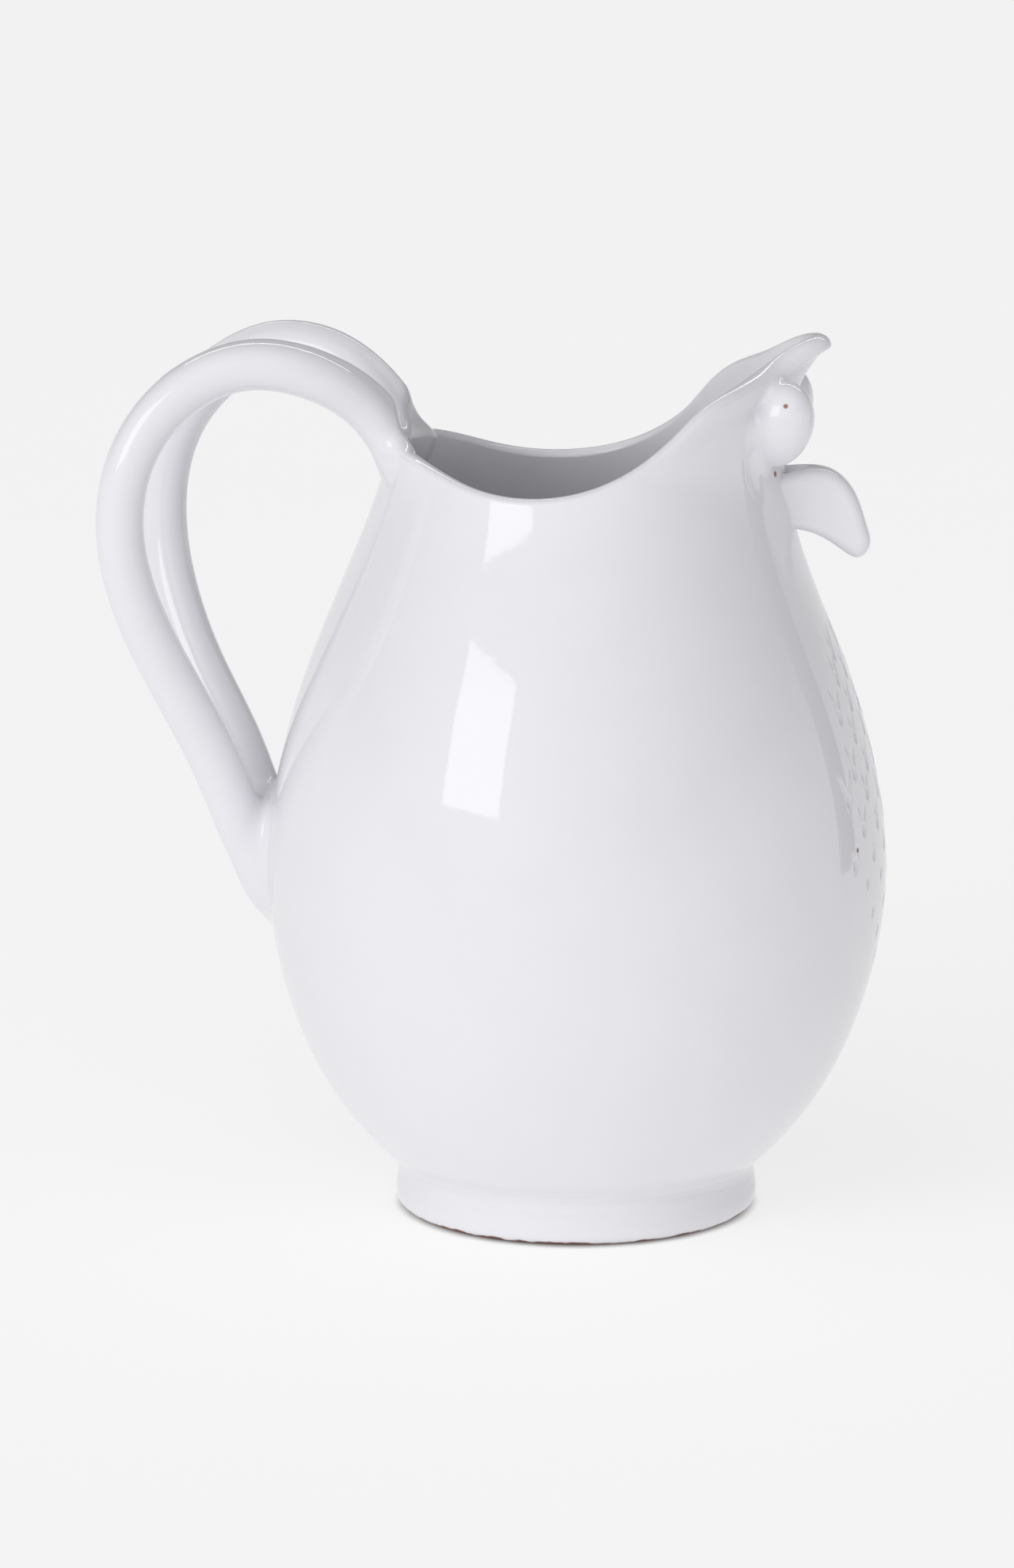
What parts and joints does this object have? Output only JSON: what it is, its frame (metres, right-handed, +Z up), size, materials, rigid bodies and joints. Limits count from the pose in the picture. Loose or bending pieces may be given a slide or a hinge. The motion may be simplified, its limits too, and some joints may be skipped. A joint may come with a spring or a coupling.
{
  "type": "ceramic pitcher",
  "caption": "Hand-built glazed pitcher: egg-shaped body on a foot ring, raised pointed spout with domed eyes and a hooked beak, forked coil handle.",
  "frame": {"origin": "centre of the foot's resting face, on the axis the body was thrown around", "axes": "+Z up along the body's axis, +X towards the spout and beak, -X towards the handle, Y across"},
  "size_m": [0.2203, 0.1764, 0.2521],
  "materials": {
    "glazed_clay": "glossy white tin glaze over red earthenware"
  },
  "bodies": {
    "root": {"vessel_body": "glazed_clay", "spout": "glazed_clay", "foot_ring": "glazed_clay", "right_handle_strand": "glazed_clay", "left_handle_strand": "glazed_clay", "handle_tail": "glazed_clay", "right_eye": "glazed_clay", "left_eye": "glazed_clay", "beak": "glazed_clay"}
  },
  "joints": []
}
